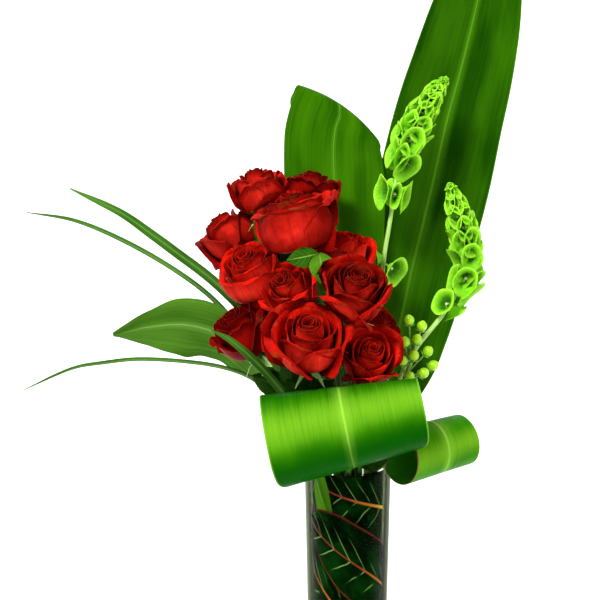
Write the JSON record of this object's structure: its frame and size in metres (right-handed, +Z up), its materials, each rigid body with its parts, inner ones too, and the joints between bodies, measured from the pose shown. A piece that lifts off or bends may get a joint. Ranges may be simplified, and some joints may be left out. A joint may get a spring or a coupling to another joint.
{
  "type": "rose arrangement in vase",
  "caption": "Red roses with tall and rolled leaves, lily grass, bells of Ireland and berries, standing in a tapered glass vase lined with croton leaves.",
  "frame": {"origin": "centre of the vase's base, on the surface that it stands on", "axes": "+Z up the vase's axis, +X to the viewer's right and -Y towards the viewer, where the fullest roses face"},
  "size_m": [0.4619, 0.2179, 0.7573],
  "materials": {
    "petal": "velvety petal",
    "stem": "waxy stem",
    "leaf": "glossy leaf",
    "rolled": "glossy leaf",
    "grass": "satin leaf",
    "bells": "thin matte bract",
    "berry": "glossy berry skin",
    "croton": "dark glossy leaf",
    "glass": "clear polished glass",
    "water": "still clear water"
  },
  "bodies": {
    "root": {"rose_01_bloom": "petal", "rose_01_stem": "stem", "rose_02_bloom": "petal", "rose_02_stem": "stem", "rose_03_bloom": "petal", "rose_03_stem": "stem", "rose_04_bloom": "petal", "rose_04_stem": "stem", "rose_05_bloom": "petal", "rose_05_stem": "stem", "rose_06_bloom": "petal", "rose_06_stem": "stem", "rose_07_bloom": "petal", "rose_07_stem": "stem", "rose_08_bloom": "petal", "rose_08_stem": "stem", "rose_09_bloom": "petal", "rose_09_stem": "stem", "rose_10_bloom": "petal", "rose_10_stem": "stem", "rose_11_bloom": "petal", "rose_11_stem": "stem", "rose_12_bloom": "petal", "rose_12_stem": "stem", "tall_leaf_right": "leaf", "tall_leaf_left": "leaf", "low_leaf_left": "leaf", "rolled_leaf_front": "rolled", "rolled_leaf_side": "rolled", "lily_grass_back": "grass", "lily_grass_front": "grass", "bells_of_ireland_back": "bells", "bells_of_ireland_side": "bells", "hypericum_sprig": "berry", "croton_leaf_1": "croton", "croton_leaf_2": "croton", "croton_leaf_3": "croton", "croton_leaf_4": "croton", "lining_leaf": "leaf", "glass_vase": "glass", "water": "water"}
  },
  "joints": []
}
